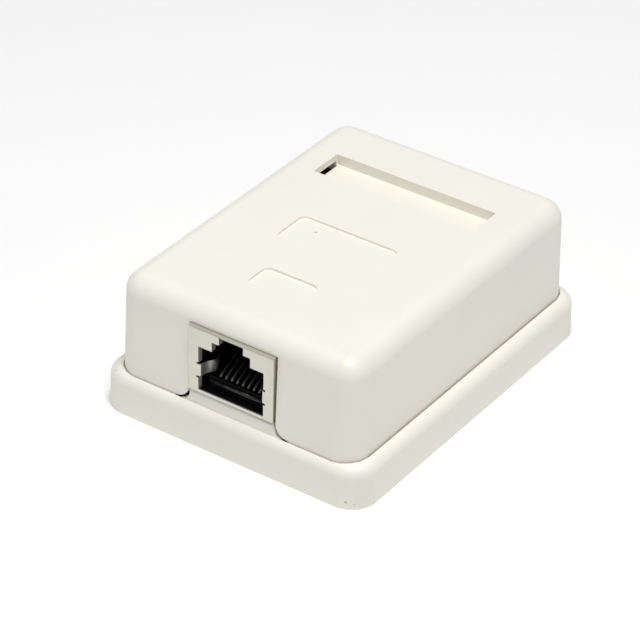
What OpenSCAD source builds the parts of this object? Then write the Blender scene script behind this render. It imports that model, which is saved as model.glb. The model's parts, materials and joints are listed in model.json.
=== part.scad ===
// Surface-mount outlet box with one shielded 8P8C port.
// A tray-like base screws or sticks to the wall and carries a small circuit board with the jack and
// two punch-down blocks. A domed cover drops over them and snaps onto four arms of the base.
// The origin is the centre of the underside. +X is the right side seen from the port, +Y points away
// from the port towards the cable end, and +Z is up, away from the wall.

/* [Base] */
// Width across the port end
base_w = 48.4; // [48:0.1:50]
// Length from port end to cable end
base_l = 63; // [62.6:0.1:65]
// Corner radius in plan
base_r = 4.4; // [4:0.1:5]
// Height of the rim around the cover
rim_h = 7.1; // [6.8:0.1:7.6]
// Radius along the outer top edge of the rim
rim_round = 1.9; // [1.2:0.1:2]
// Thickness of the floor
floor_t = 2; // [1.8:0.1:2.4]
// Lean of the outer wall from vertical, in degrees
base_draft = 1.5; // [0.5:0.1:2]

/* [Cover] */
// Width at the bottom edge
cover_w = 44.2; // [44:0.1:45]
// Length at the bottom edge
cover_l = 60.4; // [60:0.1:61]
// Corner radius at the bottom edge
cover_r = 3.9; // [3.8:0.1:4.5]
// Height of the closed box above the wall
box_h = 24; // [23.8:0.1:26]
// Height of the cover's bottom edge above the wall
cover_z = 6; // [5.8:0.1:6.2]
// Radius around the top edge
top_round = 3.2; // [2.5:0.1:3.3]
// Lean of the walls from vertical, in degrees
cover_draft = 1.7; // [1:0.1:2]
// Wall and top thickness
wall_t = 1.8; // [1.5:0.1:2]

/* [Label window and marks] */
// Width of the label window
label_w = 29.8; // [24:0.2:31]
// Length of the label window along the box
label_l = 6.5; // [5:0.1:7]
// Depth of the label window
label_d = 1.9; // [1.5:0.1:2]
// Depth of the two shallow marking fields
field_d = 0.4; // [0.2:0.1:0.6]

/* [Jack] */
// Width of the plug opening
port_w = 11.9; // [11.8:0.05:12]
// Width of the metal shell
shell_w = 15.5; // [15.4:0.1:15.8]
// Height of the metal shell
shell_h = 11.5; // [11.4:0.1:11.6]
// Length of the metal shell
shell_l = 16; // [15.8:0.1:16.4]
// Pitch of the eight contacts
contact_pitch = 1.016; // [1:0.004:1.02]
// Diameter of the contact wire
wire_d = 0.46; // [0.4:0.01:0.46]
// Angle of the free contact beams above the plug floor, in degrees
beam_angle = 28; // [26:1:30]

/* [Fixing] */
// Distance between the two wall screw holes
screw_spacing = 32.4; // [31.6:0.2:33]
// Diameter of the wall screw holes
screw_hole_d = 4.2; // [3.6:0.1:4.4]

/* [Hidden] */
contact_count = 8;
idc_per_side = 4;
fit_gap = 0.15;        // between the cover and the base all round
running_gap = 0.05;    // between snap nibs and catches
eps = 0.5;             // overshoot of a cut past a face
$fn = 64;

// Levels above the wall
board_t = 1.6;
board_z = 7.1;
board_top = board_z + board_t;
shell_z = board_top + 0.5;
shell_top = shell_z + shell_h;
cover_in_z = box_h - wall_t;

// Jack: the front face stands a little proud of the cover's wall
jack_y = -cover_l / 2 - 0.2;
sheet = 0.25;
housing_w = shell_w - 2 * sheet;
housing_z = shell_z + sheet;
housing_top = shell_top - sheet;
port_z0 = shell_z + 0.5;      // lower edge of the opening in the metal face
port_floor = shell_z + 1.4;   // floor that the plug slides on
port_z1 = shell_z + 8.2;      // ceiling of the plug body
step_w = 7;                   // wide step of the latch keyway
step_z = shell_z + 9.85;
notch_w = 4.4;                // narrow step of the latch keyway
notch_z = shell_top - 0.3;
port_depth = 11.8;
finger_z = 2.85;              // lower edge of the fingers above the shell's lower edge
finger_h = 2.2;
finger_bow = 1.2;             // reach of the fingers into the opening
finger_peak = 2.9;            // where they reach furthest, behind the face
insert_y = jack_y + 3.1;      // front face of the contact insert
insert_back = jack_y + shell_l - sheet - 0.1;

// Contact wire: a lower run, a U-bend at the front and a sloping free beam
bend_r = 0.95;
bend_y = insert_y + 0.1;
run_z = port_floor - 0.45;
bend_z = run_z + bend_r;
root_a = 90 + beam_angle;     // where the U-bend hands over to the beam
root_y = bend_y + bend_r * cos(root_a);
root_z = bend_z + bend_r * sin(root_a);
beam_l = 8;
root_clear = 18;              // degrees of bend left free in front of the beam's root
pin_bottom = board_z - 1.5;
pin_row_y = [jack_y + 10, jack_y + 12.5];
comb_y = jack_y + 8.4;
comb_top = port_floor + 5.6;
comb_slot_w = 0.6;
comb_slot_l = 3.2;
tail_slot_w = 0.54;
insert_sole = 0.35;           // thickness of the insert's floor in front of the wires
nose_y = [jack_y + 1.45, jack_y + 1.85];  // upright in front of the U-bends
nose_half = 4.9;
nose_top = port_floor + 1.35;
bead_z = [port_floor + 0.35, port_floor + 0.9];  // bead along the nose's front
bead_t = 0.2;
peg_x = 5.7;
peg_y = jack_y + 9;
peg_d = 3.1;
tab_y = jack_y + 5.4;
tab_l = 1;
foot_y = [jack_y + sheet + 2.2, jack_y + sheet + 4];  // housing feet on the board
foot_w = 1.4;
relief_h = 0.2;               // slits above and below each finger
relief_w = 0.35;

// Board, its screws and the punch-down blocks
board_w = 24;
board_y0 = jack_y + 2.4;
board_y1 = 13;
notch_half = 4.2;             // cable notch in the board's rear edge
notch_y = 7.5;
front_screw = [9.8, -12];
clamp_screw = [8.3, 10.3];
boss_d = 5;
boss_bore_d = 2;
boss_bore_depth = 4.6;
screw_clear_d = 2.4;
prop_d = 4;                   // plain posts under the board's front corners
prop_inset = 3;
ledge_x = [10, 11.2];         // ribs under the board beside the punch-down blocks
ledge_half = 7;
shank_d = 1.9;
head_d = 4;
head_h = 1.5;
recess_l = 2.2;
recess_w = 0.4;
recess_d = 0.8;
idc_x = 7.7;
idc_w = 7.4;
idc_l = 17;
idc_y = -1;
idc_h = 10.2;
idc_pitch = 4;
idc_slot_w = 1.3;
idc_slot_z = board_top + 4.2;
blade_w = 3;
blade_t = 0.5;
blade_z0 = board_top + 0.8;
blade_top = board_top + 9.2;
blade_pin_w = 0.8;
blade_gap = 0.05;
slit_w = 0.3;
idc_shoulder = [0.9, 3.4];    // step along the blocks' upper edges: width, height over the slots

// Cable clamp and cable openings
clamp_l = 4.6;
clamp_t = 0.8;
clamp_foot = 11.2;
arch_r = 3.2;
entry_w = 14;
entry_y = [15.5, 24.5];
cradle_top = 5.6;
cradle_half = notch_half - 0.25;
cradle_l = 3.2;
knockout_w = 9;
knockout_top = 14.5;
knockout_r = 2;
knockout_skin = 1;

// Base interior
pocket_w = cover_w + 2 * fit_gap;
pocket_l = cover_l + 2 * fit_gap;
pocket_r = cover_r + fit_gap;
rest_z = cover_z - 0.05;
rest_t = 1.2;
rest_in = 2.2;
side_rest_y = [-23, -6, 6, 23];
end_rest_x = 13;
collar_d = 8;                 // raised collar around each wall screw hole
collar_h = 1.4;
sink_d = 7.6;                 // countersink in the collar
arm_y = 15;
arm_w = 5;
arm_t = 1.2;
arm_x = 17.6;
arm_top = 10.6;
nib_x = 19.35;
nib_z = [1.2, 1.5];           // nib above the catch's underside, lower and upper end of its tip
catch_x = nib_x + running_gap;
catch_z = 8;
catch_t = 1;
catch_half = 3;
pad_w = 22;
pad_y = [-24, 12];
pad_t = 0.8;
pad_gap = 0.2;

// Label window, a little left of the middle, with a slit low in its left wall
window_x = [-0.3 - label_w / 2, -0.3 + label_w / 2];
window_y = [12.4, 12.4 + label_l];
window_z = box_h - label_d;
window_floor_t = 1.2;
window_edge = 1.4;            // reach of that floor beyond the window
slit_l = 2.2;
slit_h = 0.95;
slit_top = box_h - 1.2;
slit_y = [window_y[0] + 0.6, window_y[1] - 0.2];
fields = [[17.9, 7.5, -3.15], [9.7, 5.4, -17.4]];  // width, length and place along Y
field_r = 1.2;

// Sill under the jack and the matching slot in the cover
shell_gap = 0.1;              // between the shell and the cover's slot
slot_half = shell_w / 2 + shell_gap;
slot_flare_r = 1.5;
flare_z = rim_h - 0.2;
sill_gap = 0.15;
sill_t = 1.7;
sill_foot = 0.3;              // reach of the sill's foot into the rim
sill_top = shell_z - 0.1;
merge = 0.2;                  // depth by which joined shapes of one piece sink into each other

function arc(cx, cy, r, a0, a1, n = 8) =
    [for (k = [0 : n]) let (a = a0 + (a1 - a0) * k / n) [cx + r * cos(a), cy + r * sin(a)]];

function plan_points(w, l, r) = concat(
    arc(w / 2 - r, l / 2 - r, r, 0, 90),
    arc(-w / 2 + r, l / 2 - r, r, 90, 180),
    arc(-w / 2 + r, -l / 2 + r, r, 180, 270),
    arc(w / 2 - r, -l / 2 + r, r, 270, 360)
);

function contact_x(i) = (i - (contact_count + 1) / 2) * contact_pitch;

function idc_place(i) =
    let (side = i <= idc_per_side ? -1 : 1, k = (i - 1) % idc_per_side)
    [side * idc_x, idc_y + (k - (idc_per_side - 1) / 2) * idc_pitch];

// Outline of the cover's slot around the jack in the XZ plane, closed at the top, grown by g
function slot_points(top, bottom, g = 0) = concat(
    [[slot_half + g, top]],
    arc(slot_half + slot_flare_r, flare_z + slot_flare_r, slot_flare_r - g, 180, 270),
    [[slot_half + slot_flare_r, bottom], [-slot_half - slot_flare_r, bottom]],
    arc(-slot_half - slot_flare_r, flare_z + slot_flare_r, slot_flare_r - g, -90, 0),
    [[-slot_half - g, top]]
);

// A box from its lowest to its highest corner
module span(a, b) {
    translate(a) cube(b - a);
}

module mirrored_x() {
    children();
    mirror([1, 0, 0]) children();
}

// Round-cornered block with leaning walls and a rounded top edge
module domed_block(w, l, r, z0, z1, edge_r, draft) {
    straight = z1 - edge_r - z0;
    lean = straight * tan(draft);
    hull() for (sx = [-1, 1], sy = [-1, 1])
        translate([sx * (w / 2 - r), sy * (l / 2 - r), z0]) {
            cylinder(h = straight, r1 = r, r2 = r - lean, $fn = 32);
            translate([0, 0, straight]) rotate_extrude($fn = 32)
                intersection() {
                    translate([r - lean - edge_r, 0]) circle(edge_r, $fn = 32);
                    square([r, edge_r]);
                }
        }
}

// Extrudes an outline drawn in the XZ plane from y0 to y1
module upright(y0, y1) {
    translate([0, y1, 0]) rotate([90, 0, 0]) linear_extrude(y1 - y0) children();
}

module pan_screw(x, y, under_head, length) {
    translate([x, y, under_head]) difference() {
        union() {
            translate([0, 0, -length]) cylinder(d = shank_d, h = length + merge);
            cylinder(d = head_d, h = head_h);
        }
        for (a = [0, 90])
            rotate([0, 0, a]) translate([-recess_l / 2, -recess_w / 2, head_h - recess_d])
                cube([recess_l, recess_w, recess_d + eps]);
    }
}

// ---- base ----

module base_sill() {
    reach = slot_half + slot_flare_r - sill_gap;
    back = -cover_l / 2 + sill_t;
    intersection() {
        upright(-cover_l / 2, back) polygon(slot_points(sill_top, floor_t - merge, -sill_gap));
        span([-reach, -base_l, 0], [reach, 0, sill_top]);
    }
    span([-reach, -cover_l / 2 - sill_foot, floor_t - merge], [reach, back, flare_z - sill_gap]);
}

module snap_arm(x_side, y) {
    translate([0, y, 0]) scale([x_side, 1, 1]) upright(-arm_w / 2, arm_w / 2) polygon([
        [arm_x, floor_t - merge], [arm_x + arm_t, floor_t - merge],
        [arm_x + arm_t, catch_z + nib_z[0]], [nib_x, catch_z + nib_z[0]],
        [nib_x, catch_z + nib_z[1]], [arm_x + arm_t, arm_top], [arm_x, arm_top]
    ]);
}

module cover_rests() {
    for (y = side_rest_y) mirrored_x()
        span([pocket_w / 2 - rest_in, y - rest_t / 2, floor_t - merge],
             [pocket_w / 2 + merge, y + rest_t / 2, rest_z]);
    for (end = [-1, 1]) scale([1, end, 1]) mirrored_x()
        span([end_rest_x - rest_t / 2, pocket_l / 2 - rest_in, floor_t - merge],
             [end_rest_x + rest_t / 2, pocket_l / 2 + merge, rest_z]);
}

module board_bosses() {
    foot = floor_t - merge;
    for (p = [front_screw, clamp_screw]) mirrored_x()
        translate([p[0], p[1], foot]) cylinder(d = boss_d, h = board_z - foot);
    mirrored_x() translate([front_screw[0], board_y0 + prop_inset, foot])
        cylinder(d = prop_d, h = board_z - foot);
    mirrored_x() span([ledge_x[0], idc_y - ledge_half, foot],
                      [ledge_x[1], idc_y + ledge_half, board_z]);
}

module cable_cradle() {
    y = clamp_screw[1];
    difference() {
        span([-cradle_half, y - cradle_l / 2, floor_t - merge],
             [cradle_half, y + cradle_l / 2, cradle_top + arch_r / 2]);
        translate([0, y - cradle_l, cradle_top + arch_r]) rotate([-90, 0, 0])
            cylinder(r = arch_r, h = 2 * cradle_l);
    }
}

module base() {
    color("ivory") difference() {
        union() {
            difference() {
                domed_block(base_w, base_l, base_r, 0, rim_h, rim_round, base_draft);
                translate([0, 0, floor_t]) linear_extrude(rim_h)
                    polygon(plan_points(pocket_w, pocket_l, pocket_r));
            }
            base_sill();
            cover_rests();
            board_bosses();
            cable_cradle();
            mirrored_x() translate([screw_spacing / 2, 0, floor_t - merge])
                cylinder(d = collar_d, h = collar_h);
            for (sx = [-1, 1], sy = [-1, 1]) snap_arm(sx, sy * arm_y);
        }
        for (p = [front_screw, clamp_screw]) mirrored_x()
            translate([p[0], p[1], board_z - boss_bore_depth])
                cylinder(d = boss_bore_d, h = boss_bore_depth + eps);
        mirrored_x() translate([screw_spacing / 2, 0, -eps])
            cylinder(d = screw_hole_d, h = floor_t + collar_h + eps);
        mirrored_x() translate([screw_spacing / 2, 0, floor_t])
            cylinder(d1 = screw_hole_d, d2 = sink_d, h = collar_h + merge);
        span([-entry_w / 2, entry_y[0], -eps], [entry_w / 2, entry_y[1], floor_t + eps]);
        span([-pad_w / 2, pad_y[0], -eps], [pad_w / 2, pad_y[1], pad_t]);
    }
}

module adhesive_pad() {
    color("whitesmoke")
        span([-pad_w / 2 + pad_gap, pad_y[0] + pad_gap, 0],
             [pad_w / 2 - pad_gap, pad_y[1] - pad_gap, pad_t]);
}

// ---- cover ----

module marking_field(w, l, y) {
    translate([0, y, box_h - field_d]) linear_extrude(field_d + eps)
        polygon(plan_points(w, l, field_r));
}

module label_window() {
    span([window_x[0], window_y[0], window_z], [window_x[1], window_y[1], box_h + eps]);
    span([window_x[0] - slit_l, slit_y[0], slit_top - slit_h],
         [window_x[0] + merge, slit_y[1], slit_top]);
}

module window_floor() {
    span([window_x[0] - slit_l - window_edge, window_y[0] - window_edge, window_z - window_floor_t],
         [window_x[1] + window_edge, window_y[1] + window_edge, cover_in_z + merge]);
}

module snap_catches() {
    for (end = [-1, 1]) mirrored_x()
        span([catch_x, end * arm_y - catch_half, catch_z],
             [cover_w / 2 - wall_t / 2, end * arm_y + catch_half, catch_z + catch_t]);
}

module knockout() {
    half = knockout_w / 2;
    r = knockout_r;
    outline = concat([[half, cover_z - eps]], arc(half - r, knockout_top - r, r, 0, 90),
                     arc(-half + r, knockout_top - r, r, 90, 180), [[-half, cover_z - eps]]);
    upright(cover_l / 2 - wall_t - knockout_skin, cover_l / 2 - knockout_skin) polygon(outline);
}

module cover() {
    color("ivory") difference() {
        union() {
            difference() {
                domed_block(cover_w, cover_l, cover_r, cover_z, box_h, top_round, cover_draft);
                domed_block(cover_w - 2 * wall_t, cover_l - 2 * wall_t, cover_r - wall_t + 0.4,
                            cover_z - eps, cover_in_z, top_round - wall_t, cover_draft);
            }
            window_floor();
            snap_catches();
        }
        upright(-cover_l, -cover_l / 2 + 4)
            polygon(slot_points(shell_top + shell_gap, cover_z - eps));
        label_window();
        for (f = fields) marking_field(f[0], f[1], f[2]);
        knockout();
    }
}

// ---- circuit board ----

module circuit_board() {
    color("darkgreen") difference() {
        span([-board_w / 2, board_y0, board_z], [board_w / 2, board_y1, board_top]);
        span([-notch_half, notch_y, board_z - eps], [notch_half, board_y1 + eps, board_top + eps]);
        translate([0, 0, board_z - eps]) {
            for (p = [front_screw, clamp_screw]) mirrored_x()
                translate(p) cylinder(d = screw_clear_d, h = board_t + 2 * eps);
            mirrored_x() translate([peg_x, peg_y]) cylinder(d = peg_d + 0.15, h = board_t + 2 * eps);
            mirrored_x() translate([shell_w / 2 - sheet / 2, tab_y + tab_l / 2])
                cylinder(d = 1.5, h = board_t + 2 * eps);
            for (i = [1 : contact_count])
                translate([contact_x(i), pin_row_y[i % 2]]) cylinder(d = 0.8, h = board_t + 2 * eps);
            for (i = [1 : 2 * idc_per_side])
                translate(idc_place(i)) cylinder(d = 1.1, h = board_t + 2 * eps);
        }
    }
}

// ---- jack ----

// Front outline of the plug opening: the plug body with the two-step latch keyway above it
module port_outline(z0) {
    polygon([
        [-port_w / 2, z0], [port_w / 2, z0], [port_w / 2, port_z1], [step_w / 2, port_z1],
        [step_w / 2, step_z], [notch_w / 2, step_z], [notch_w / 2, notch_z], [-notch_w / 2, notch_z],
        [-notch_w / 2, step_z], [-step_w / 2, step_z], [-step_w / 2, port_z1], [-port_w / 2, port_z1]
    ]);
}

// Grounding finger: a strip folded back from the face's edge and bowed into the opening.
// Its root is sunk into the face, a little inside the face's front and back surfaces.
module shell_finger() {
    edge = port_w / 2;
    front = jack_y + 0.05;
    back = jack_y + sheet - 0.04;
    translate([0, 0, shell_z + finger_z + 0.05]) linear_extrude(finger_h - 0.1) polygon([
        [edge + 0.12, front], [edge - 0.1, front], [edge - finger_bow, jack_y + finger_peak],
        [edge - 0.35, jack_y + 4.7], [edge - 0.12, jack_y + 4.6],
        [edge - finger_bow + 0.28, jack_y + finger_peak], [edge - 0.04, back], [edge + 0.12, back]
    ]);
}

module jack_shell() {
    half = shell_w / 2;
    back = jack_y + shell_l;
    color("silver") {
        difference() {
            span([-half, jack_y, shell_z], [half, jack_y + sheet, shell_top]);
            upright(jack_y - eps, jack_y + 1) port_outline(port_z0);
            mirrored_x() for (z = [shell_z + finger_z - relief_h, shell_z + finger_z + finger_h])
                span([port_w / 2 - 0.1, jack_y - eps, z],
                     [port_w / 2 + relief_w, jack_y + 1, z + relief_h]);
        }
        span([-half, jack_y, shell_top - sheet], [half, back, shell_top]);
        span([-half, back - sheet, shell_z], [half, back, shell_top]);
        mirrored_x() {
            span([half - sheet, jack_y, shell_z], [half, back, shell_top]);
            span([half - sheet, tab_y, board_z - 1.2], [half, tab_y + tab_l, shell_z + merge]);
            shell_finger();
        }
    }
}

module jack_housing() {
    half = housing_w / 2;
    front = jack_y + sheet;
    back = jack_y + shell_l - sheet;
    color("#1c1c1e") {
        difference() {
            span([-half, front, housing_z], [half, back, housing_top]);
            upright(front - eps, jack_y + port_depth) port_outline(port_floor - 0.01);
            span([-port_w / 2, front - eps, housing_z - eps], [port_w / 2, back + eps, port_floor]);
            span([-port_w / 2, jack_y + port_depth - 3.5, port_floor - 0.1],
                 [port_w / 2, back + eps, comb_top + 0.1]);
        }
        mirrored_x() translate([peg_x, peg_y, board_z - 1])
            cylinder(d = peg_d, h = housing_z - board_z + 1 + merge);
        mirrored_x() span([half - foot_w, foot_y[0], board_top], [half, foot_y[1], housing_z + 0.01]);
    }
}

module contact_insert() {
    half = port_w / 2 - 0.05;
    color("#151517") difference() {
        union() {
            span([-half, insert_y, housing_z], [half, insert_back, port_floor]);
            span([-half, jack_y + sheet + 0.1, housing_z],
                 [half, insert_y + merge, housing_z + insert_sole]);
            span([-half, comb_y, port_floor - 0.1], [half, insert_back, comb_top]);
            span([-nose_half, nose_y[0], housing_z], [nose_half, nose_y[1], nose_top]);
            span([-nose_half, nose_y[0] - bead_t, bead_z[0]],
                 [nose_half, nose_y[0] + merge, bead_z[1]]);
        }
        for (i = [1 : contact_count]) {
            x = contact_x(i);
            span([x - tail_slot_w / 2, insert_y - eps, housing_z + insert_sole],
                 [x + tail_slot_w / 2, insert_y + eps, run_z + wire_d / 2 + 0.03]);
            span([x - tail_slot_w / 2, insert_y + merge, housing_z - eps],
                 [x + tail_slot_w / 2, pin_row_y[i % 2] + 0.3, run_z + wire_d / 2 + 0.03]);
            span([x - comb_slot_w / 2, comb_y - eps, port_floor + 0.4],
                 [x + comb_slot_w / 2, comb_y + comb_slot_l, comb_top + eps]);
        }
        mirrored_x() translate([peg_x, peg_y, housing_z - eps])
            cylinder(d = peg_d + 0.2, h = port_floor - housing_z + 2 * eps);
    }
}

// Fixed half of one contact: solder pin, lower run and the U-bend up to the beam's root
module contact_tail(i) {
    pin_y = pin_row_y[i % 2];
    r = wire_d / 2;
    color("goldenrod") translate([contact_x(i), 0, 0]) {
        translate([0, pin_y, pin_bottom]) cylinder(r = r, h = run_z - pin_bottom);
        translate([0, pin_y, run_z]) sphere(r);
        translate([0, bend_y, run_z]) rotate([-90, 0, 0]) cylinder(r = r, h = pin_y - bend_y);
        translate([0, bend_y, bend_z]) rotate([90, 0, 90])
            rotate([0, 0, root_a + root_clear]) rotate_extrude(angle = 270 - root_a - root_clear)
                translate([bend_r, 0]) circle(r);
    }
}

// Free half of one contact: the sloping beam that a plug presses down
module contact_beam(i) {
    color("gold") translate([contact_x(i), root_y, root_z]) rotate([beam_angle - 90, 0, 0]) {
        sphere(wire_d / 2);
        cylinder(d = wire_d, h = beam_l);
        translate([0, 0, beam_l]) sphere(wire_d / 2);
    }
}

// ---- punch-down blocks ----

module idc_block(side) {
    top = board_top + idc_h;
    x0 = side * idc_x;
    color("white") difference() {
        span([x0 - idc_w / 2, idc_y - idc_l / 2, board_top],
             [x0 + idc_w / 2, idc_y + idc_l / 2, top]);
        for (k = [1 : idc_per_side]) {
            y = idc_place(k)[1];
            span([x0 - idc_w, y - idc_slot_w / 2, idc_slot_z],
                 [x0 + idc_w, y + idc_slot_w / 2, top + eps]);
            span([x0 - blade_t / 2 - blade_gap, y - blade_w / 2 - blade_gap, board_top - eps],
                 [x0 + blade_t / 2 + blade_gap, y + blade_w / 2 + blade_gap, top + eps]);
        }
        for (sx = [-1, 1])
            span([x0 + sx * idc_w / 2 - idc_shoulder[0], idc_y - idc_l, idc_slot_z + idc_shoulder[1]],
                 [x0 + sx * idc_w / 2 + idc_shoulder[0], idc_y + idc_l, top + eps]);
    }
}

module idc_terminal(i) {
    p = idc_place(i);
    color("lightgray") difference() {
        union() {
            span([p[0] - blade_t / 2, p[1] - blade_w / 2, blade_z0],
                 [p[0] + blade_t / 2, p[1] + blade_w / 2, blade_top]);
            span([p[0] - blade_t / 2, p[1] - blade_pin_w / 2, pin_bottom],
                 [p[0] + blade_t / 2, p[1] + blade_pin_w / 2, blade_z0 + 0.1]);
        }
        span([p[0] - 1, p[1] - slit_w / 2, idc_slot_z + 0.5],
             [p[0] + 1, p[1] + slit_w / 2, blade_top + eps]);
    }
}

// ---- cable clamp and screws ----

module cable_clamp() {
    y = clamp_screw[1];
    color("silver") difference() {
        union() {
            span([-clamp_foot, y - clamp_l / 2, board_top],
                 [clamp_foot, y + clamp_l / 2, board_top + clamp_t]);
            translate([0, y - clamp_l / 2, board_top]) rotate([-90, 0, 0])
                cylinder(r = arch_r + clamp_t, h = clamp_l);
        }
        translate([0, y - clamp_l, board_top]) rotate([-90, 0, 0])
            cylinder(r = arch_r, h = 2 * clamp_l);
        span([-clamp_foot, y - clamp_l, -eps], [clamp_foot, y + clamp_l, board_top]);
        mirrored_x() translate([clamp_screw[0], y, board_top - eps])
            cylinder(d = screw_clear_d, h = clamp_t + 2 * eps);
    }
}

module clamp_screws() {
    color("lightsteelblue") for (sx = [-1, 1])
        pan_screw(sx * clamp_screw[0], clamp_screw[1], board_top + clamp_t, 6);
}

module board_screws() {
    color("lightsteelblue") for (sx = [-1, 1])
        pan_screw(sx * front_screw[0], front_screw[1], board_top, 5.4);
}

base();
cover();
adhesive_pad();
circuit_board();
jack_shell();
jack_housing();
contact_insert();
for (i = [1 : contact_count])
    contact_tail(i);
for (i = [1 : contact_count])
    contact_beam(i);
idc_block(-1);  // idc_block_left
idc_block(1);  // idc_block_right
for (i = [1 : 2 * idc_per_side])
    idc_terminal(i);
cable_clamp();
clamp_screws();
board_screws();
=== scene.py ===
"""Looks for a surface-mount jack box: an ivory tray base, a domed cover and one shielded socket."""

import json
import math

import bmesh
import bpy
from mathutils import Matrix, Vector


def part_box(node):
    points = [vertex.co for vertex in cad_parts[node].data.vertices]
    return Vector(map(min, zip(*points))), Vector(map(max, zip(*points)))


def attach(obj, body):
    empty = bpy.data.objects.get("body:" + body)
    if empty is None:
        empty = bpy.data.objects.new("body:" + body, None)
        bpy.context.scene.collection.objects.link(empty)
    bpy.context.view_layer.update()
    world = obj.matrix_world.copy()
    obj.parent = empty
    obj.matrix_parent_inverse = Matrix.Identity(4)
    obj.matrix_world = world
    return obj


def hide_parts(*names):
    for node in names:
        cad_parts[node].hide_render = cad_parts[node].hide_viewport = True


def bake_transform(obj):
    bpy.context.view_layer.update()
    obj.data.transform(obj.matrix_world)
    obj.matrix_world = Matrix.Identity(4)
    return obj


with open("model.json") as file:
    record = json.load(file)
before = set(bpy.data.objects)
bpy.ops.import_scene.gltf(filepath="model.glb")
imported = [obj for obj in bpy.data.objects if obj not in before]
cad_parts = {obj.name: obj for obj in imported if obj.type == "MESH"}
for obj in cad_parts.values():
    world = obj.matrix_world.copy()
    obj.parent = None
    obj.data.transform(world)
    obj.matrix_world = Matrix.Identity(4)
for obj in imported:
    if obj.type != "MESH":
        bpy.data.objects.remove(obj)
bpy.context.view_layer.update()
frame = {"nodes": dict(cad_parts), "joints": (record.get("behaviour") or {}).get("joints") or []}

# All shapes are worked out in millimetres and scaled to metres when a piece is finished.
MM = 0.001
RIGHT_ANGLE = math.radians(90)
FULL_TURN = 2 * math.pi
SIDES = (-1, 1)
CONTACTS = range(1, 9)


def box_mm(node):
    """Lowest and highest corner of a CAD node, in millimetres."""
    low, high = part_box(node)
    return low / MM, high / MM


BASE_LO, BASE_HI = box_mm("base")
COVER_LO, COVER_HI = box_mm("cover")
SHELL_LO, SHELL_HI = box_mm("jack_shell")
BOARD_LO, BOARD_HI = box_mm("circuit_board")

# How far a cut runs past the surface that it opens, and past the cover's lower edge
PAST = 1
PAST_COVER = 0.5

# Points along the corners and along the rounded top edges, and the smallest corner
CORNER_STEPS = 14
ROUND_STEPS = 12
LEAST_CORNER = 0.05

# Meshes: reach of a weld, angle between faces that count as flat, and angle that stays a crease
WELD_REACH = 0.0005
FLAT_ANGLE = math.radians(0.5)
CREASE_ANGLE = math.radians(44)
# Rounding of the edges, by kind of piece
EDGE = {"cover": 0.12, "shield": 0.04, "lip": 0.02, "small": 0.05, "block": 0.1, "terminal": 0.04,
        "pad": 0.15}

# Base: the rim's outline, its gap round the cover, and how far the finer rim covers the CAD's
RIM = {"radius": 4.4, "draft": math.radians(1.5), "round": 1.9, "height": 7.1, "gap": 0.15,
       "skin": 0.01}
# Filler that closes the joint between the rim and the sill under the jack
SILL = {"half": 9.2, "low": 6.3, "high": 6.86, "lap": 0.05}

# Cover
COVER_RADIUS = 3.9
COVER_DRAFT = math.radians(1.7)
COVER_ROUND = 3.2
COVER_WALL = 1.8
HOLLOW_CORNER = 0.4
# Bead along the lower edge, inside the joint with the rim
SKIRT = {"grow": 0.1, "low": 6.6, "high": 6.72}
# Label window, the slit low in its left wall, and the thick ceiling that carries its floor
WINDOW = {"x": (-15.2, 14.6), "y": (12.4, 18.9), "depth": 1.9}
SLIT = {"skin": 1.2, "height": 0.95, "ramp": 1.05, "reach": 2.2, "drop": 3, "near": 0.6,
        "far": 0.2, "lap": 0.1}
LEDGE = {"left": 3.4, "margin": 1.4, "floor": 1.2, "lap": 0.3}
# Two shallow marking fields
FIELDS = ({"size": (17.9, 7.5), "y": -3.15}, {"size": (9.7, 5.4), "y": -17.4})
FIELD_DEPTH = 0.42
FIELD_RADIUS = 1.2
# Slot round the jack, which flares out beside the sill
SLOT = {"side": 0.24, "top": 0.04, "flare": 2.3, "flare_z": 6.9, "before": 5, "behind": 4}
# Inner ledges for the snap arms, and the arch that thins the rear wall
CATCH = {"x": 19.4, "y": 15.0, "half": 3.0, "z": (8.0, 9.0), "inset": 0.8}
KNOCKOUT = {"half": 4.5, "top": 14.5, "radius": 2.0, "skin": 1.0}

# Jack: the shield's sheet, and the opening as half widths and heights above the shield's lower edge
JACK_FRONT = SHELL_LO.y
SHELL_BOTTOM = 9.2
SHEET = 0.25
PORT = {"half": 5.95, "step": 3.5, "notch": 2.2, "z0": 0.5, "z1": 8.2, "z2": 9.85, "z3": 11.3}
# Grounding finger: a fold round the opening's edge, then a bow given as reach and depth
FINGER = {"z": 2.9, "height": 2.1, "fold": 0.36, "thick": 0.2, "root": 0.2, "lean": 0.05, "steps": 8}
FINGER_BULGE = ((0.42, 0.8), (0.52, 1.25), (0.75, 1.7), (1.05, 2.1), (1.28, 2.5), (1.36, 2.9),
                (1.2, 3.5), (0.5, 4.7))
# Slits above and below each finger, and the seam across the shield's face
RELIEF = {"height": 0.34, "inner": 0.1, "outer": 0.35, "past": 0.1}
SEAM = {"drop": 0.12, "height": 0.08, "depth": 0.2}
# Edge of the sheet rolled inwards round the opening, left out at the fingers and at the bottom
LIP = {"thick": 0.13, "top": 0.05, "depth": 0.95, "lap": 0.02}
LIP_GAP = {"inner": 0.2, "outer": 0.5, "margin": 0.25, "bottom": 0.05}
BROW = {"start": 0.15, "low": 0.3}
# Room for the lip in the black housing
LIP_ROOM = {"round": 0.02, "behind": 0.05}
SOLDER_TAB = {"near": 5.4, "far": 6.4, "lap": 0.2}
BEAD = {"x": (-3.7, 4.85), "y": -29.14, "z": 11.2, "radius": 0.3, "steps": 10}

# Contacts: bend of the pin, and points along each stretch
PIN_CORNER = 0.3
PIN_STEPS = 6
BEND_STEPS = 26
BEAM_STEPS = 6
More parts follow.
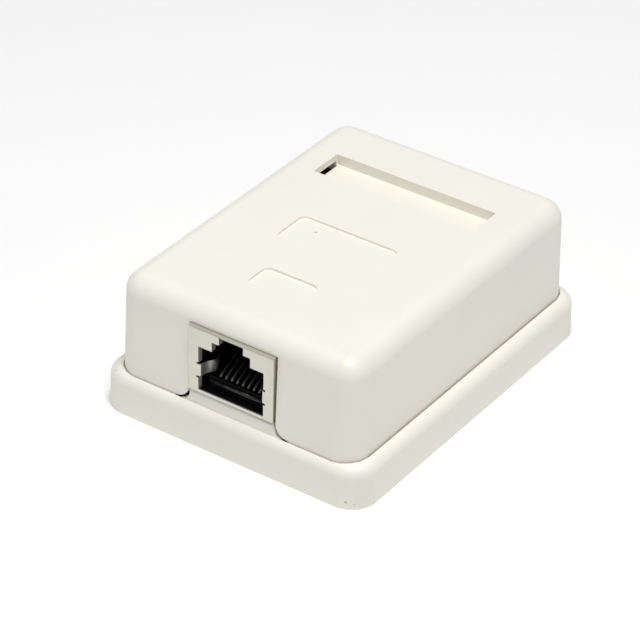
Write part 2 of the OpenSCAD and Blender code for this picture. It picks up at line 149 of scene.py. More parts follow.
# Rounded end of a wire: place along it and size, as shares of its radius
WIRE_END = ((-0.98, 0.2), (-0.8, 0.6), (-0.45, 0.89))

# Board: copper tracks, and solder fillets given as shares of their radius and height
TRACK = {"half": 0.18, "thick": 0.03, "start": 0.9, "spread": 0.55, "span": 4, "step": 0.35,
         "bend": 0.6}
FILLET = ((1, 0), (0.82, 0.14), (0.6, 0.36), (0.42, 0.66), (0.3, 0.92), (0.16, 1))
FILLET_SIDES = 16
FILLET_DROP = -0.9
PIN_INSET = 0.23
PIN_SOLDER = 0.62
POST_SOLDER = 0.85

# Pan-head screws: the crown is given as shares of the head's radius and heights above its seat
SCREW = {"head": 1.5, "shank": 0.95, "tip": 0.02, "sides": 40, "crease": 40}
SCREW_CROWN = ((1, 0.7), (0.93, 1.05), (0.75, 1.32), (0.45, 1.46))
RECESS = (1.15, 0.22)
RECESS_DEPTH = 0.9


# ---- mesh helpers ----

def mesh_object(name, vertices, faces):
    """New object whose faces all point outwards."""
    mesh = bpy.data.meshes.new(name)
    mesh.from_pydata([tuple(v) for v in vertices], [], faces)
    mesh.validate()
    obj = bpy.data.objects.new(name, mesh)
    bpy.context.scene.collection.objects.link(obj)
    shape = bmesh.new()
    shape.from_mesh(mesh)
    bmesh.ops.recalc_face_normals(shape, faces=shape.faces)
    shape.to_mesh(mesh)
    shape.free()
    return obj


def loft(name, rings):
    """Closed solid through rings that all have the same number of points."""
    count = len(rings[0])
    vertices = [p for ring in rings for p in ring]
    faces = [tuple(range(count))[::-1], tuple(range((len(rings) - 1) * count, len(rings) * count))]
    for level in range(len(rings) - 1):
        for k in range(count):
            a = level * count + k
            b = level * count + (k + 1) % count
            faces.append((a, b, b + count, a + count))
    return mesh_object(name, vertices, faces)


def circle_turns(sides):
    """Angles of the corners of a regular polygon."""
    return [FULL_TURN * k / sides for k in range(sides)]


def arc(cx, cy, radius, start, end, steps=CORNER_STEPS):
    """Points along an arc between two angles in degrees."""
    turns = [math.radians(start + (end - start) * k / steps) for k in range(steps + 1)]
    return [(cx + radius * math.cos(a), cy + radius * math.sin(a)) for a in turns]


def rounded_rect(width, length, radius):
    x = width / 2 - radius
    y = length / 2 - radius
    return (arc(x, y, radius, 0, 90) + arc(-x, y, radius, 90, 180)
            + arc(-x, -y, radius, 180, 270) + arc(x, -y, radius, 270, 360))


def domed_block(name, width, length, radius, z0, z1, edge, draft, skirt=False):
    """Round-cornered block whose walls lean inwards and run smoothly into a rounded top edge."""
    def ring(inset, z):
        corner = max(radius - inset, LEAST_CORNER)
        plan = rounded_rect(width - 2 * inset, length - 2 * inset, corner)
        return [(x, y, z) for x, y in plan]

    centre_z = z1 - edge
    tangent_z = centre_z + edge * math.sin(draft)
    wall_inset = (tangent_z - z0) * math.tan(draft)
    centre_inset = wall_inset + edge * math.cos(draft)
    rings = [ring(0, z0)]
    if skirt:
        lean = (SKIRT["high"] - z0) * math.tan(draft)
        rings = [ring(-SKIRT["grow"], z0), ring(-SKIRT["grow"], SKIRT["low"]),
                 ring(lean, SKIRT["high"])]
    for k in range(ROUND_STEPS + 1):
        a = draft + (RIGHT_ANGLE - draft) * k / ROUND_STEPS
        rings.append(ring(centre_inset - edge * math.cos(a), centre_z + edge * math.sin(a)))
    return loft(name, rings)


def box_solid(name, low, high):
    """Block between two opposite corners."""
    x0, y0, z0 = low
    x1, y1, z1 = high
    lower = [(x0, y0, z0), (x1, y0, z0), (x1, y1, z0), (x0, y1, z0)]
    return loft(name, [lower, [(x, y, z1) for x, y, _ in lower]])


def flat_prism(name, outline, z0, z1):
    """Extrudes an outline drawn in the XY plane from z0 to z1."""
    return loft(name, [[(x, y, z0) for x, y in outline], [(x, y, z1) for x, y in outline]])


def upright_prism(name, outline, y0, y1):
    """Extrudes an outline drawn in the XZ plane from y0 to y1."""
    return loft(name, [[(x, y0, z) for x, z in outline], [(x, y1, z) for x, z in outline]])


def combine(target, tools, operation):
    """Applies the tools to the target one after the other and deletes them."""
    for tool in tools:
        modifier = target.modifiers.new("combine", "BOOLEAN")
        modifier.operation = operation
        modifier.solver = "EXACT"
        modifier.object = tool
        apply_modifiers(target)
        bpy.data.objects.remove(tool)
    return target


def cut(target, *tools):
    return combine(target, tools, "DIFFERENCE")


def join(target, *tools):
    return combine(target, tools, "UNION")


def apply_modifiers(obj):
    bpy.context.view_layer.update()
    evaluated = obj.evaluated_get(bpy.context.evaluated_depsgraph_get())
    mesh = bpy.data.meshes.new_from_object(evaluated)
    obj.modifiers.clear()
    obj.data = mesh


def weld(obj, merge_flat=False):
    """Joins the corners that neighbouring faces share and, if asked, merges flat neighbours."""
    shape = bmesh.new()
    shape.from_mesh(obj.data)
    bmesh.ops.remove_doubles(shape, verts=shape.verts, dist=WELD_REACH)
    if merge_flat:
        bmesh.ops.dissolve_limit(shape, angle_limit=FLAT_ANGLE, verts=shape.verts, edges=shape.edges)
    shape.to_mesh(obj.data)
    shape.free()
    return obj


def smooth(obj):
    """Smooth shading that keeps sharp corners and gives broad faces even normals."""
    obj.data.shade_smooth()
    obj.data.set_sharp_from_angle(angle=CREASE_ANGLE)
    weighted = obj.modifiers.new("weighted", "WEIGHTED_NORMAL")
    weighted.keep_sharp = True
    apply_modifiers(obj)
    return obj


def soften(obj, width, segments=2, angle=32):
    """Rounds every edge sharper than an angle in degrees and shades the piece smooth."""
    weld(obj, merge_flat=True)
    bevel = obj.modifiers.new("bevel", "BEVEL")
    bevel.width = width
    bevel.segments = segments
    bevel.limit_method = "ANGLE"
    bevel.angle_limit = math.radians(angle)
    bevel.use_clamp_overlap = True
    bevel.miter_outer = "MITER_ARC"
    apply_modifiers(obj)
    return smooth(obj)


def finish_piece(obj, material, body, slot, *nodes):
    """Scales a piece to metres and gives it its material, body and replaced nodes; the slot is not
    used.
    """
    obj.data.transform(Matrix.Scale(MM, 4))
    obj.data.materials.clear()
    obj.data.materials.append(material)
    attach(obj, body)
    if nodes:
        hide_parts(*nodes)
    return obj


def from_node(name, node):
    """A piece that starts from a CAD node's own shape, in millimetres."""
    obj = bpy.data.objects.new(name, frame["nodes"][node].data.copy())
    bpy.context.scene.collection.objects.link(obj)
    obj.data.transform(Matrix.Scale(1 / MM, 4))
    obj.data.materials.clear()
    return obj


def tube(name, path, radius, sides=14):
    """Round wire through the points of a path in a YZ plane, with rounded ends."""
    rings = []
    side = Vector((1, 0, 0))
    last = len(path) - 1

    def add(centre, along, size):
        up = side.cross(along).normalized()
        rings.append([centre + size * (side * math.cos(a) + up * math.sin(a))
                      for a in circle_turns(sides)])

    first_along = (path[1] - path[0]).normalized()
    last_along = (path[last] - path[last - 1]).normalized()
    for back, size in WIRE_END:
        add(path[0] + first_along * back * radius, first_along, radius * size)
    for k, point in enumerate(path):
        along = (path[min(k + 1, last)] - path[max(k - 1, 0)]).normalized()
        add(point, along, radius)
    for back, size in reversed(WIRE_END):
        add(path[last] - last_along * back * radius, last_along, radius * size)
    return loft(name, rings)


# ---- materials ----

# Noise scales per metre, where the colour drift starts and ends, and the grain's depth in metres
DRIFT_SCALE = 90
DRIFT_BAND = (0.3, 0.7)
GLOSS_SCALE = 420
GLOSS_SPREAD = 0.06
GRAIN_DEPTH = 0.00005
# Blemishes on the ivory plastic: place in millimetres, radius and strength
DUST = (0.3, 0.27, 0.2, 1)
MARK_CORE = 0.5
MARKS = (((-4.78, -1.89, 23.58), 0.22, 0.75), ((-4.95, -2.05, 23.58), 0.16, 0.5),
         ((21.55, -31.12, 1.3), 0.26, 0.6), ((21.8, -31.0, 1.0), 0.2, 0.3),
         ((22.6, -30.45, 0.9), 0.3, 0.25), ((-21.8, -30.25, 6.65), 0.25, 0.35))


def tinted(color, share):
    return tuple(min(c * share, 1) for c in color) + (1,)


def moulded(name, color, roughness, metallic=0.0, grain=2600, bump=0.05, spread=0.035,
            stretch=(1, 1, 1), coat=0.0, gleam=0.5):
    """Surface with slight colour drift, uneven gloss and a fine grain."""
    material = bpy.data.materials.new(name)
    material.use_nodes = True
    tree = material.node_tree
    shader = tree.nodes["Principled BSDF"]
    shader.inputs["Metallic"].default_value = metallic
    shader.inputs["Coat Weight"].default_value = coat
    shader.inputs["Specular IOR Level"].default_value = gleam
    place = tree.nodes.new("ShaderNodeTexCoord")
    mapping = tree.nodes.new("ShaderNodeMapping")
    mapping.inputs["Scale"].default_value = stretch
    tree.links.new(place.outputs["Object"], mapping.inputs["Vector"])

    def noise(scale, detail):
        node = tree.nodes.new("ShaderNodeTexNoise")
        node.inputs["Scale"].default_value = scale
        node.inputs["Detail"].default_value = detail
        tree.links.new(mapping.outputs["Vector"], node.inputs["Vector"])
        return node

    drift = noise(DRIFT_SCALE, detail=3)
    colors = tree.nodes.new("ShaderNodeValToRGB")
    for stop, position, share in zip(colors.color_ramp.elements, DRIFT_BAND,
                                     (1 - spread, 1 + spread / 2)):
        stop.position = position
        stop.color = tinted(color, share)
    tree.links.new(drift.outputs["Fac"], colors.inputs["Fac"])
    tree.links.new(colors.outputs["Color"], shader.inputs["Base Color"])

    gloss = tree.nodes.new("ShaderNodeMapRange")
    gloss.inputs["To Min"].default_value = roughness - GLOSS_SPREAD
    gloss.inputs["To Max"].default_value = roughness + GLOSS_SPREAD
    tree.links.new(noise(GLOSS_SCALE, detail=4).outputs["Fac"], gloss.inputs["Value"])
    tree.links.new(gloss.outputs["Result"], shader.inputs["Roughness"])

    relief = tree.nodes.new("ShaderNodeBump")
    relief.inputs["Strength"].default_value = bump
    relief.inputs["Distance"].default_value = GRAIN_DEPTH
    tree.links.new(noise(grain, detail=5).outputs["Fac"], relief.inputs["Height"])
    tree.links.new(relief.outputs["Normal"], shader.inputs["Normal"])
    return material


def add_mark(material, place, radius, color, strength):
    """Small soft-edged blemish round one point of the object, given in millimetres."""
    tree = material.node_tree
    shader = tree.nodes["Principled BSDF"]
    under = shader.inputs["Base Color"].links[0].from_socket
    where = tree.nodes.new("ShaderNodeTexCoord")
    reach = tree.nodes.new("ShaderNodeVectorMath")
    reach.operation = "DISTANCE"
    reach.inputs[1].default_value = [c * MM for c in place]
    tree.links.new(where.outputs["Object"], reach.inputs[0])
    mask = tree.nodes.new("ShaderNodeMapRange")
    mask.inputs["From Min"].default_value = radius * MM * MARK_CORE
    mask.inputs["From Max"].default_value = radius * MM
    mask.inputs["To Min"].default_value = strength
    mask.inputs["To Max"].default_value = 0
    tree.links.new(reach.outputs["Value"], mask.inputs["Value"])
    mix = tree.nodes.new("ShaderNodeMix")
    mix.data_type = "RGBA"
    mix.inputs["B"].default_value = color
    tree.links.new(mask.outputs["Result"], mix.inputs["Factor"])
    tree.links.new(under, mix.inputs["A"])
    tree.links.new(mix.outputs["Result"], shader.inputs["Base Color"])


IVORY = moulded("ivory", (0.86, 0.838, 0.755), 0.42, grain=3200, bump=0.06, spread=0.015)
for mark_place, mark_radius, mark_strength in MARKS:
    add_mark(IVORY, mark_place, mark_radius, DUST, mark_strength)
PLATED = moulded("plated", (0.66, 0.645, 0.56), 0.34, metallic=0.85, grain=900, bump=0.04,
                 stretch=(1, 1, 9))
# Darker, duller copy of the plated sheet for the lip rolled into the opening: painted shade
SHADED_PLATE = moulded("shaded_plate", (0.5, 0.49, 0.46), 0.48, metallic=0.55, grain=900, bump=0.05)
BLACK = moulded("black", (0.004, 0.004, 0.0045), 0.45, grain=2400, bump=0.08, spread=0.25,
                gleam=0.07)
# Lighter, glossier copy of the black plastic for the bead along the insert: painted highlight
BEAD_HIGHLIGHT_BLACK = moulded("bead_highlight_black", (0.02, 0.02, 0.021), 0.24, grain=2400, bump=0.05, spread=0.2)
# Grey metal of the contact wires, darkened further as painted shade for the dark inside of the housing
SHADED_WIRE = moulded("contact_wire", (0.3, 0.29, 0.27), 0.33, metallic=1.0, grain=2000, bump=0.03)
BOARD_GREEN = moulded("board_green", (0.02, 0.16, 0.07), 0.3, grain=1500, bump=0.1, spread=0.15,
                      coat=0.4)
TRACE_GREEN = moulded("trace_green", (0.05, 0.27, 0.12), 0.28, grain=1500, bump=0.05, coat=0.4)
WHITE = moulded("white", (0.8, 0.8, 0.785), 0.4, grain=2800, bump=0.06, spread=0.02)
TIN = moulded("tin", (0.76, 0.75, 0.72), 0.33, metallic=1.0, grain=1800, bump=0.06)
ZINC = moulded("zinc", (0.66, 0.67, 0.69), 0.3, metallic=1.0, grain=1600, bump=0.05)
FOAM = moulded("foam", (0.76, 0.76, 0.73), 0.85, grain=1100, bump=0.6, spread=0.06)


# ---- cover ----

def cover_blank():
    """Domed cover with its hollow, before anything else is added or cut."""
    width = COVER_HI.x - COVER_LO.x
    length = COVER_HI.y - COVER_LO.y
    cover = domed_block("cover_shell", width, length, COVER_RADIUS, COVER_LO.z, COVER_HI.z,
                        COVER_ROUND, COVER_DRAFT, skirt=True)
    hollow = domed_block("hollow", width - 2 * COVER_WALL, length - 2 * COVER_WALL,
                         COVER_RADIUS - COVER_WALL + HOLLOW_CORNER, COVER_LO.z - PAST_COVER,
                         COVER_HI.z - COVER_WALL, COVER_ROUND - COVER_WALL, COVER_DRAFT)
    return cut(cover, hollow)


def window_ledge():
    """Thicker ceiling that carries the floor of the label window."""
    x0, x1 = WINDOW["x"]
    y0, y1 = WINDOW["y"]
    margin = LEDGE["margin"]
    floor = COVER_HI.z - WINDOW["depth"]
    return box_solid("ledge", (x0 - LEDGE["left"], y0 - margin, floor - LEDGE["floor"]),
                     (x1 + margin, y1 + margin, COVER_HI.z - COVER_WALL + LEDGE["lap"]))


def snap_catch(side, end):
    """Ledge inside a long wall that one of the base's snap arms holds."""
    x0, x1 = sorted((side * CATCH["x"], side * (COVER_HI.x - CATCH["inset"])))
    y = end * CATCH["y"]
    z0, z1 = CATCH["z"]
    return box_solid("catch", (x0, y - CATCH["half"], z0), (x1, y + CATCH["half"], z1))


def slot_cutter():
    """Slot in the front wall that clears the jack and flares out beside the sill."""
    half = (SHELL_HI.x - SHELL_LO.x) / 2 + SLOT["side"]
    radius = SLOT["flare"]
    centre = half + radius
    z = SLOT["flare_z"] + radius
    top = SHELL_HI.z + SLOT["top"]
    bottom = COVER_LO.z - PAST_COVER
    outline = ([(half, top)] + arc(centre, z, radius, 180, 270) + [(centre, bottom), (-centre, bottom)]
               + arc(-centre, z, radius, -90, 0) + [(-half, top)])
    return upright_prism("slot", outline, COVER_LO.y - SLOT["before"], COVER_LO.y + SLOT["behind"])


def window_cutters():
    """The label window, and the slit in its left wall that opens down into the hollow."""
    x0, x1 = WINDOW["x"]
    y0, y1 = WINDOW["y"]
    top = COVER_HI.z
    floor = top - WINDOW["depth"]
    slit_top = top - SLIT["skin"]
    slit_low = slit_top - SLIT["height"]
    outer = x0 - SLIT["reach"]
    ramp = x0 + SLIT["ramp"]
    bottom = floor - SLIT["drop"]
    lap = SLIT["lap"]
    well = box_solid("well", (x0, y0, floor), (x1, y1, top + PAST))
    outline = [(x0 + lap, slit_top), (outer, slit_top), (outer, bottom), (x0, bottom),
               (x0, slit_low), (ramp, floor), (ramp, floor + lap), (x0 + lap, floor + lap)]
    return well, upright_prism("slit", outline, y0 + SLIT["near"], y1 - SLIT["far"])


def field_cutter(size, centre_y):
    """Shallow round-cornered field in the top."""
    outline = [(x, y + centre_y) for x, y in rounded_rect(*size, FIELD_RADIUS)]
    return flat_prism("field", outline, COVER_HI.z - FIELD_DEPTH, COVER_HI.z + PAST)


def knockout_cutter():
    """Arch that thins the rear wall from inside, where it is broken out for a cable."""
    half = KNOCKOUT["half"]
    radius = KNOCKOUT["radius"]
    top = KNOCKOUT["top"]
    bottom = COVER_LO.z - PAST_COVER
    outline = ([(half, bottom)] + arc(half - radius, top - radius, radius, 0, 90)
               + arc(-half + radius, top - radius, radius, 90, 180) + [(-half, bottom)])
    return upright_prism("knockout", outline, COVER_HI.y - COVER_WALL - PAST,
                         COVER_HI.y - KNOCKOUT["skin"])


def build_cover():
    cover = cover_blank()
    join(cover, window_ledge())
    for side in SIDES:
        for end in SIDES:
            join(cover, snap_catch(side, end))
    cut(cover, slot_cutter())
    cut(cover, *window_cutters())
    for field in FIELDS:
        cut(cover, field_cutter(field["size"], field["y"]))
    cut(cover, knockout_cutter())
    soften(cover, EDGE["cover"], 3)
    return finish_piece(cover, IVORY, "cover_body", "ivory_plastic", "cover")


# ---- jack ----

def port_outline(grow=0.0):
    """Plug opening in the XZ plane with its two-step keyway, its edges moved outwards by grow."""
    z = SHELL_BOTTOM
    half = PORT["half"] + grow
    step = PORT["step"] + grow
    notch = PORT["notch"] + grow
    z0 = z + PORT["z0"] - grow
    z1 = z + PORT["z1"] + grow
    z2 = z + PORT["z2"] + grow
    z3 = z + PORT["z3"] + min(grow, LIP["top"])
    return [(-half, z0), (half, z0), (half, z1), (step, z1), (step, z2), (notch, z2), (notch, z3),
            (-notch, z3), (-notch, z2), (-step, z2), (-step, z1), (-half, z1)]


def beside_port(side, inner, outer):
    """Range of X across one side edge of the opening, lowest first."""
    return sorted((side * (PORT["half"] - inner), side * (PORT["half"] + outer)))


def finger(side):
    """Strip folded back round the edge of the opening and bowed out towards the plug."""
    edge = PORT["half"]
    z0 = SHELL_BOTTOM + FINGER["z"]
    fold = [(edge - x, JACK_FRONT + FINGER["fold"] + y)
            for x, y in arc(0, 0, FINGER["fold"], 270, 350, FINGER["steps"])]
    bulge = [(edge - reach, JACK_FRONT + depth) for reach, depth in FINGER_BULGE]
    inner = [(edge + FINGER["root"], JACK_FRONT)] + fold + bulge
    outer = [(x + FINGER["thick"], y + FINGER["lean"]) for x, y in reversed(inner[2:])]
    outline = [(side * x, y) for x, y in inner + outer]
    return flat_prism("finger", outline, z0, z0 + FINGER["height"])


def relief_cutter(side, z):
    """Slit in the face that frees one edge of a finger."""
    x0, x1 = beside_port(side, RELIEF["inner"], RELIEF["outer"])
    return box_solid("relief", (x0, JACK_FRONT - PAST, z),
                     (x1, JACK_FRONT + SHEET + RELIEF["past"], z + RELIEF["height"]))


def shield():
    """Box of thin sheet with the opening, the fingers with their slits, and a seam."""
    half = SHELL_HI.x
    back = SHELL_HI.y
    top = SHELL_HI.z
    z0 = SHELL_BOTTOM
    seam_top = top - SEAM["drop"]
    shell = box_solid("jack_shield", (-half, JACK_FRONT, z0), (half, back, top))
    cut(shell, box_solid("inside", (-half + SHEET, JACK_FRONT + SHEET, z0 - PAST),
                         (half - SHEET, back - SHEET, top - SHEET)))
    cut(shell, upright_prism("port", port_outline(), JACK_FRONT - PAST, JACK_FRONT + PAST))
    for side in SIDES:
        for z in (z0 + FINGER["z"] - RELIEF["height"], z0 + FINGER["z"] + FINGER["height"]):
            cut(shell, relief_cutter(side, z))
    cut(shell, box_solid("seam", (-half - PAST, JACK_FRONT - PAST, seam_top - SEAM["height"]),
                         (half + PAST, JACK_FRONT + SEAM["depth"], seam_top)))
    for side in SIDES:
        join(shell, finger(side))
    return soften(shell, EDGE["shield"])


def lip_brow():
    """Thicker upper edge of the lip, across the keyway."""
    half = PORT["notch"] + LIP["thick"] / 2
    z = SHELL_BOTTOM + PORT["z3"]
    return box_solid("brow", (-half, JACK_FRONT + BROW["start"], z - BROW["low"]),
                     (half, JACK_FRONT + LIP["depth"], z + LIP["thick"] / 3))


def build_lip():
    """Edge of the sheet rolled inwards round the opening."""
    half = SHELL_HI.x
    z0 = SHELL_BOTTOM
    finger_z = z0 + FINGER["z"]
    behind = JACK_FRONT + 2 * PAST
    lip = upright_prism("jack_lip", port_outline(LIP["thick"]), JACK_FRONT + SHEET - LIP["lap"],
                        JACK_FRONT + LIP["depth"])
    cut(lip, upright_prism("port", port_outline(), JACK_FRONT - PAST, behind))
    for side in SIDES:
        x0, x1 = beside_port(side, LIP_GAP["inner"], LIP_GAP["outer"])
        cut(lip, box_solid("gap", (x0, JACK_FRONT, finger_z - LIP_GAP["margin"]),
                           (x1, behind, finger_z + FINGER["height"] + LIP_GAP["margin"])))
    cut(lip, box_solid("open_bottom", (-half, JACK_FRONT, z0 - PAST),
                       (half, behind, z0 + PORT["z0"] + LIP_GAP["bottom"])))
    join(lip, lip_brow())
    # The lip gets the darker copy of the plated sheet, as painted shade inside the opening
    finish_piece(soften(lip, EDGE["lip"], 1), SHADED_PLATE, "base_body", "plated_sheet")


def build_solder_tabs():
    """Two tabs that run from the shield's walls down through the board."""
    wall_x = SHELL_HI.x - SHEET / 2
    for side, word in zip(SIDES, ("left", "right")):
        low = (side * wall_x - SHEET / 2, JACK_FRONT + SOLDER_TAB["near"], SHELL_LO.z)
        high = (side * wall_x + SHEET / 2, JACK_FRONT + SOLDER_TAB["far"],
                SHELL_BOTTOM + SOLDER_TAB["lap"])
        tab = box_solid("solder_tab_" + word, low, high)
        finish_piece(soften(tab, EDGE["small"]), PLATED, "base_body", "plated_sheet")


def build_shell():
    shell = shield()
    build_lip()
    build_solder_tabs()
    return finish_piece(shell, PLATED, "base_body", "plated_sheet", "jack_shell")


def build_housing():
    """Black housing with room for the lip, the contact insert, and the bead along its front."""
    housing = from_node("jack_body", "jack_housing")
    relief = upright_prism("relief", port_outline(LIP["thick"] + LIP_ROOM["round"]), JACK_FRONT,
                           JACK_FRONT + LIP["depth"] + LIP_ROOM["behind"])
    cut(housing, relief)
    finish_piece(soften(housing, EDGE["small"]), BLACK, "base_body", "black_plastic",
                 "jack_housing")
    insert = from_node("contact_carrier", "contact_insert")
    finish_piece(soften(insert, EDGE["small"]), BLACK, "base_body", "black_plastic",
                 "contact_insert")
    profile = arc(BEAD["y"], BEAD["z"], BEAD["radius"], 90, 270, BEAD["steps"])
    bead = loft("insert_bead", [[(x, y, z) for y, z in profile] for x in BEAD["x"]])
    bead.data.shade_smooth()
    # The bead gets the lighter copy of the black plastic, as a painted highlight
    finish_piece(bead, BEAD_HIGHLIGHT_BLACK, "base_body", "black_plastic")


# ---- contacts ----

def contact_path(number):
    """Centre line of one wire (pin, lower run, U-bend, free beam), its radius and its hinge."""
    tail_lo, tail_hi = box_mm(f"contact_tail_{number}")
    beam_lo, beam_hi = box_mm(f"contact_beam_{number}")
    joint = next(j for j in frame["joints"] if j["name"] == f"contact_{number}_flex")
    x, root_y, root_z = (c / MM for c in joint["pos_m"])
    wire = beam_hi.x - beam_lo.x
    tip_y = beam_hi.y - wire / 2
    tip_z = beam_hi.z - wire / 2
    slope = math.atan2(tip_z - root_z, tip_y - root_y)
    hand_over = RIGHT_ANGLE + slope
    radius = (root_y - tail_lo.y - wire / 2) / (1 + math.cos(hand_over))
    centre_y = tail_lo.y + wire / 2 + radius
    centre_z = root_z - radius * math.sin(hand_over)
    pin_y = tail_hi.y - wire / 2
    run_z = centre_z - radius
    path = [Vector((x, pin_y, tail_lo.z + wire / 2)), Vector((x, pin_y, run_z - PIN_CORNER))]
    path += [Vector((x, pin_y - PIN_CORNER + y, run_z - PIN_CORNER + z))
             for y, z in arc(0, 0, PIN_CORNER, 0, 90, PIN_STEPS)[1:]]
    bend = arc(centre_y, centre_z, radius, 270, math.degrees(hand_over), BEND_STEPS)
    path += [Vector((x, y, z)) for y, z in bend]
    path += [Vector((x, root_y + (tip_y - root_y) * k / BEAM_STEPS,
                     root_z + (tip_z - root_z) * k / BEAM_STEPS)) for k in range(1, BEAM_STEPS + 1)]
    return path, wire / 2, Vector((x, root_y, root_z))


def build_contact(number):
    """One wire over its fixed tail and its free beam, made as one tube that does not flex."""
    path, radius, root = contact_path(number)
    wire = tube(f"contact_wire_{number}", path, radius)
    wire.data.shade_smooth()
    wire.data.transform(Matrix.Scale(MM, 4))
    # The wires get the darkened metal, as painted shade inside the housing
    wire.data.materials.append(SHADED_WIRE)
    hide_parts(f"contact_tail_{number}", f"contact_beam_{number}")
    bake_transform(wire)


# ---- base ----

def build_base():
    """The tray's own shape with a finer rounded rim over it and a closed joint below the sill."""
    tray = weld(from_node("base_tray", "base"))
    skin = RIM["skin"]
    top = RIM["height"] + skin / 2
    width = BASE_HI.x - BASE_LO.x + 2 * skin
    length = BASE_HI.y - BASE_LO.y + 2 * skin
    rim = domed_block("rim", width, length, RIM["radius"] + skin, 2 * skin, top, RIM["round"],
                      RIM["draft"])
    inner = 2 * RIM["gap"] - skin
    pocket = rounded_rect(COVER_HI.x - COVER_LO.x + inner, COVER_HI.y - COVER_LO.y + inner,
                          COVER_RADIUS + inner / 2)
    cut(rim, flat_prism("pocket", pocket, -PAST, top + PAST))
    pocket_y = COVER_LO.y - RIM["gap"]
    lap = box_solid("lap", (-SILL["half"], pocket_y - SILL["lap"], SILL["low"]),
                    (SILL["half"], COVER_LO.y + SILL["lap"], SILL["high"]))
    join(tray, rim, lap)
    finish_piece(smooth(weld(tray)), IVORY, "base_body", "ivory_plastic", "base")


# ---- board, blocks and fasteners ----

def build_from_nodes():
    """Pieces that keep their CAD shape and gain rounded edges."""
    plain = [("punch_block_left", "idc_block_left", WHITE, "white_plastic", EDGE["block"]),
             ("punch_block_right", "idc_block_right", WHITE, "white_plastic", EDGE["block"]),
             ("clamp_strap", "cable_clamp", PLATED, "plated_sheet", EDGE["block"])]
    for number in CONTACTS:
        plain.append((f"terminal_{number}", f"idc_terminal_{number}", TIN, "tinned_bronze",
                      EDGE["terminal"]))
    for name, node, material, slot, width in plain:
        piece = soften(from_node(name, node), width)
        finish_piece(piece, material, "base_body", slot, node)


def build_trace(number, start, end, height):
    """Copper track under the solder mask, with one bend between a jack pin and a terminal."""
    spread = TRACK["spread"] * abs(end[0] - start[0]) / TRACK["span"]
    bend_y = start[1] + TRACK["start"] + spread + TRACK["step"] * number
    points = [start, (start[0], bend_y - TRACK["bend"]), (end[0], bend_y + TRACK["bend"]), end]
    vertices = []
    faces = []
    for (x0, y0), (x1, y1) in zip(points, points[1:]):
        along = Vector((x1 - x0, y1 - y0)).normalized()
        side = Vector((-along.y, along.x)) * TRACK["half"]
        first = len(vertices)
        corners = [(x0 - side.x, y0 - side.y), (x0 + side.x, y0 + side.y),
                   (x1 + side.x, y1 + side.y), (x1 - side.x, y1 - side.y)]
        vertices += [(x, y, height) for x, y in corners]
        vertices += [(x, y, height + TRACK["thick"]) for x, y in corners]
        faces += [tuple(first + k for k in quad) for quad in
                  ((0, 1, 2, 3), (4, 5, 6, 7), (0, 1, 5, 4), (1, 2, 6, 5), (2, 3, 7, 6), (3, 0, 4, 7))]
    return mesh_object(f"track_{number}", vertices, faces)


def solder_dome(name, x, y, z, radius):
    """Solder fillet that runs down a pin from the board's underside."""
    rings = [[(x + radius * r * math.cos(a), y + radius * r * math.sin(a), z + FILLET_DROP * h)
              for a in circle_turns(FILLET_SIDES)] for r, h in FILLET]
    dome = loft(name, rings)
    dome.data.shade_smooth()
    return dome


def build_board():
    """Board with a track and two solder fillets for each contact."""
    board = from_node("outlet_board", "circuit_board")
    finish_piece(soften(board, EDGE["small"]), BOARD_GREEN, "base_body", "green_laminate",
                 "circuit_board")
    for number in CONTACTS:
        tail_lo, tail_hi = box_mm(f"contact_tail_{number}")
        pin = ((tail_lo.x + tail_hi.x) / 2, tail_hi.y - PIN_INSET)
        blade_lo, blade_hi = box_mm(f"idc_terminal_{number}")
        post = ((blade_lo.x + blade_hi.x) / 2, (blade_lo.y + blade_hi.y) / 2)
        track = build_trace(number, pin, post, BOARD_HI.z)
        finish_piece(track, TRACE_GREEN, "base_body", "green_laminate")
        for word, place, radius in (("pin", pin, PIN_SOLDER), ("post", post, POST_SOLDER)):
            dome = solder_dome(f"solder_{word}_{number}", *place, BOARD_LO.z, radius)
            finish_piece(dome, TIN, "base_body", "tinned_bronze")


def pan_screw(name, x, y, tip_z, crown_z, head_r):
    """Pan-head screw with a domed head, a cross recess and a plain shank."""
    under = crown_z - SCREW["head"]
    profile = [(SCREW["shank"], tip_z), (SCREW["shank"], under), (head_r, under)]
    profile += [(head_r * share, under + rise) for share, rise in SCREW_CROWN]
    profile += [(SCREW["tip"], crown_z)]
    rings = [[(x + r * math.cos(a), y + r * math.sin(a), z) for a in circle_turns(SCREW["sides"])]
             for r, z in profile]
    screw = loft(name, rings)
    for along, across in (RECESS, RECESS[::-1]):
        cut(screw, box_solid("recess", (x - along, y - across, crown_z - RECESS_DEPTH),
                             (x + along, y + across, crown_z + PAST)))
    return soften(screw, EDGE["small"], 2, SCREW["crease"])


def build_screws(name, node):
    """A left and a right screw that stand for one node together."""
    low, high = box_mm(node)
    head_r = (high.y - low.y) / 2
    centre_y = (high.y + low.y) / 2
    for word, x in (("left", low.x + head_r), ("right", high.x - head_r)):
        screw = pan_screw(f"{name}_{word}", x, centre_y, low.z, high.z, head_r)
        finish_piece(screw, ZINC, "base_body", "screw_steel", node)


def build_pad():
    pad = soften(from_node("foam_pad", "adhesive_pad"), EDGE["pad"], 3)
    finish_piece(pad, FOAM, "base_body", "foam_tape", "adhesive_pad")


# ---- stage ----

FLOOR_HALF = 3
WORLD_STRENGTH = 0.335
# Name, place and size in metres, and power in watts
LIGHTS = (("overhead", (0.1, -0.1, 0.7), 0.22, 3.9), ("front_fill", (-0.4, -0.7, 0.5), 0.5, 0.12))


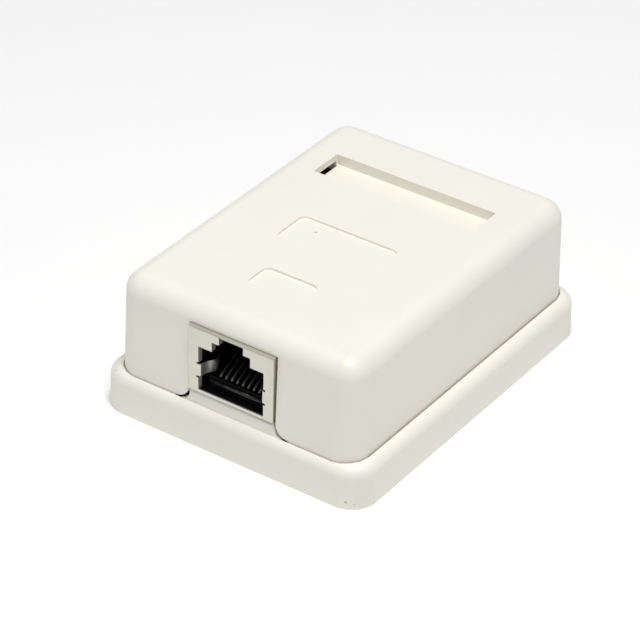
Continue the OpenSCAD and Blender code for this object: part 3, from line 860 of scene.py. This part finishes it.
def build_stage():
    """Pale floor, even white surroundings and two soft square lights that face the object."""
    half = FLOOR_HALF
    floor = mesh_object("floor", [(-half, -half, 0), (half, -half, 0), (half, half, 0),
                                  (-half, half, 0)], [(0, 1, 2, 3)])
    material = moulded("floor_paper", (0.95, 0.95, 0.95), 0.7, grain=300, bump=0.01, spread=0.004)
    floor.data.materials.append(material)

    world = bpy.data.worlds.new("studio")
    world.use_nodes = True
    background = world.node_tree.nodes["Background"]
    background.inputs["Color"].default_value = (1, 1, 1, 1)
    background.inputs["Strength"].default_value = WORLD_STRENGTH
    bpy.context.scene.world = world

    for name, place, size, power in LIGHTS:
        data = bpy.data.lights.new(name, "AREA")
        data.shape = "SQUARE"
        data.size = size
        data.energy = power
        light = bpy.data.objects.new(name, data)
        light.location = place
        light.rotation_euler = (-Vector(place)).to_track_quat("-Z", "Y").to_euler()
        bpy.context.scene.collection.objects.link(light)


def build_camera():
    """Long lens that looks down from the front right and is rolled a little."""
    azimuth = math.radians(34.08)
    elevation = math.radians(33.38)
    roll = math.radians(1.544)
    distance = 0.4957
    target = Vector((-0.002405, -0.003153, 0.010417))
    away = Vector((math.sin(azimuth) * math.cos(elevation),
                   -math.cos(azimuth) * math.cos(elevation), math.sin(elevation)))
    data = bpy.data.cameras.new("camera")
    data.sensor_width = 36
    data.lens = 180.14
    data.shift_x = -0.00336
    data.shift_y = -0.01131
    data.clip_start = 0.01
    right = Vector((0, 0, 1)).cross(away).normalized()
    up = away.cross(right)
    rolled_right = right * math.cos(roll) + up * math.sin(roll)
    rolled_up = -right * math.sin(roll) + up * math.cos(roll)
    camera = bpy.data.objects.new("camera", data)
    turn = Matrix((rolled_right, rolled_up, away)).transposed()
    camera.matrix_world = Matrix.Translation(target + away * distance) @ turn.to_4x4()
    bpy.context.scene.collection.objects.link(camera)
    bpy.context.scene.camera = camera


build_camera()
build_stage()
build_cover()
build_shell()
build_housing()
for contact_number in CONTACTS:
    build_contact(contact_number)
build_base()
build_from_nodes()
build_board()
build_screws("clamp_screw", "clamp_screws")
build_screws("board_screw", "board_screws")
build_pad()
bpy.context.scene.view_settings.view_transform = "Standard"
